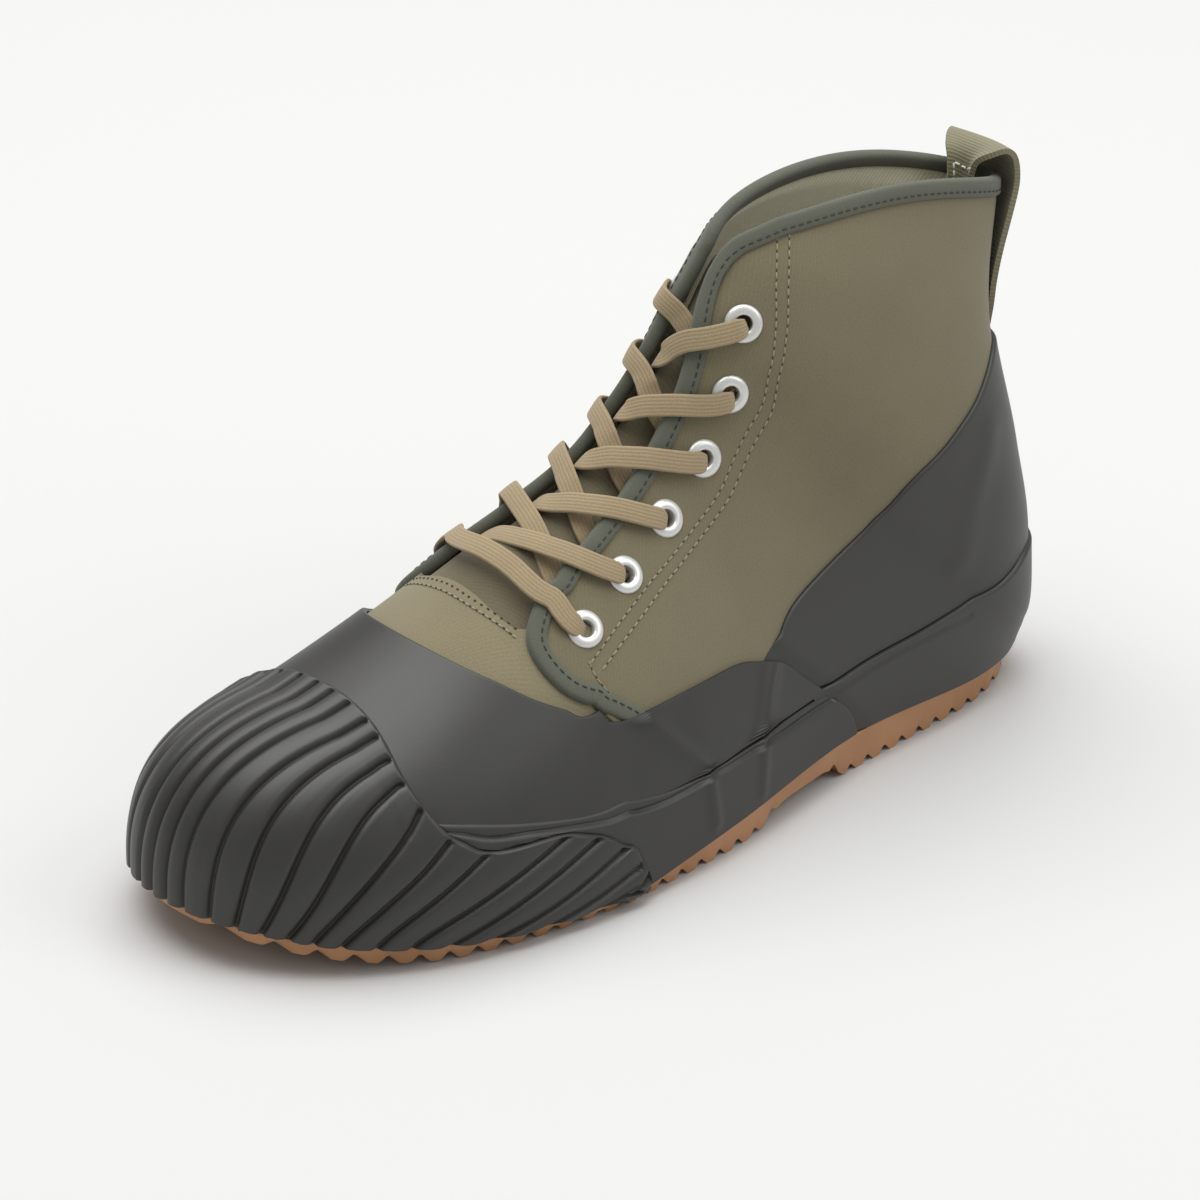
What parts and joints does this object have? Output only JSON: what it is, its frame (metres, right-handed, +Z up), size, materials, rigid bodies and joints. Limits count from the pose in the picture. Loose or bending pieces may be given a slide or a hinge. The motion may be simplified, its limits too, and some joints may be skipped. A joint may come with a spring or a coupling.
{
  "type": "canvas and rubber ankle boot",
  "caption": "Left lace-up ankle boot of canvas on a moulded rubber shell, with a ribbed toe cap, heel counter, foxing, gum sole and pull loop. Open at collar and throat, stands on its sole.",
  "frame": {"origin": "middle of the boot's box, on the floor under the sole", "axes": "-Y towards the toe, +X towards the outer (lateral) side of this left boot, +Z up"},
  "size_m": [0.1104, 0.2816, 0.1523],
  "materials": {
    "canvas": "olive khaki cotton twill",
    "rubber": "matt dark warm grey",
    "gum": "matt brown gum",
    "binding": "grey-green woven tape",
    "lace": "tan flat woven cotton",
    "eyelet": "satin white metal",
    "insole": "olive cotton cover"
  },
  "bodies": {
    "root": {"outsole": "gum", "insole": "insole", "upper": "canvas", "tongue": "canvas", "toe_cap": "rubber", "mudguard": "rubber", "heel_counter": "rubber", "foxing_lateral": "rubber", "foxing_medial": "rubber", "foxing_rear": "rubber", "edge_binding": "binding", "pull_loop": "canvas", "eyelet_lateral_1": "eyelet", "eyelet_lateral_2": "eyelet", "eyelet_lateral_3": "eyelet", "eyelet_lateral_4": "eyelet", "eyelet_lateral_5": "eyelet", "eyelet_lateral_6": "eyelet", "eyelet_medial_1": "eyelet", "eyelet_medial_2": "eyelet", "eyelet_medial_3": "eyelet", "eyelet_medial_4": "eyelet", "eyelet_medial_5": "eyelet", "eyelet_medial_6": "eyelet", "lace_bar": "lace", "lace_crossing_1": "lace", "lace_crossing_2": "lace", "lace_crossing_3": "lace", "lace_crossing_4": "lace", "lace_crossing_5": "lace"}
  },
  "joints": []
}
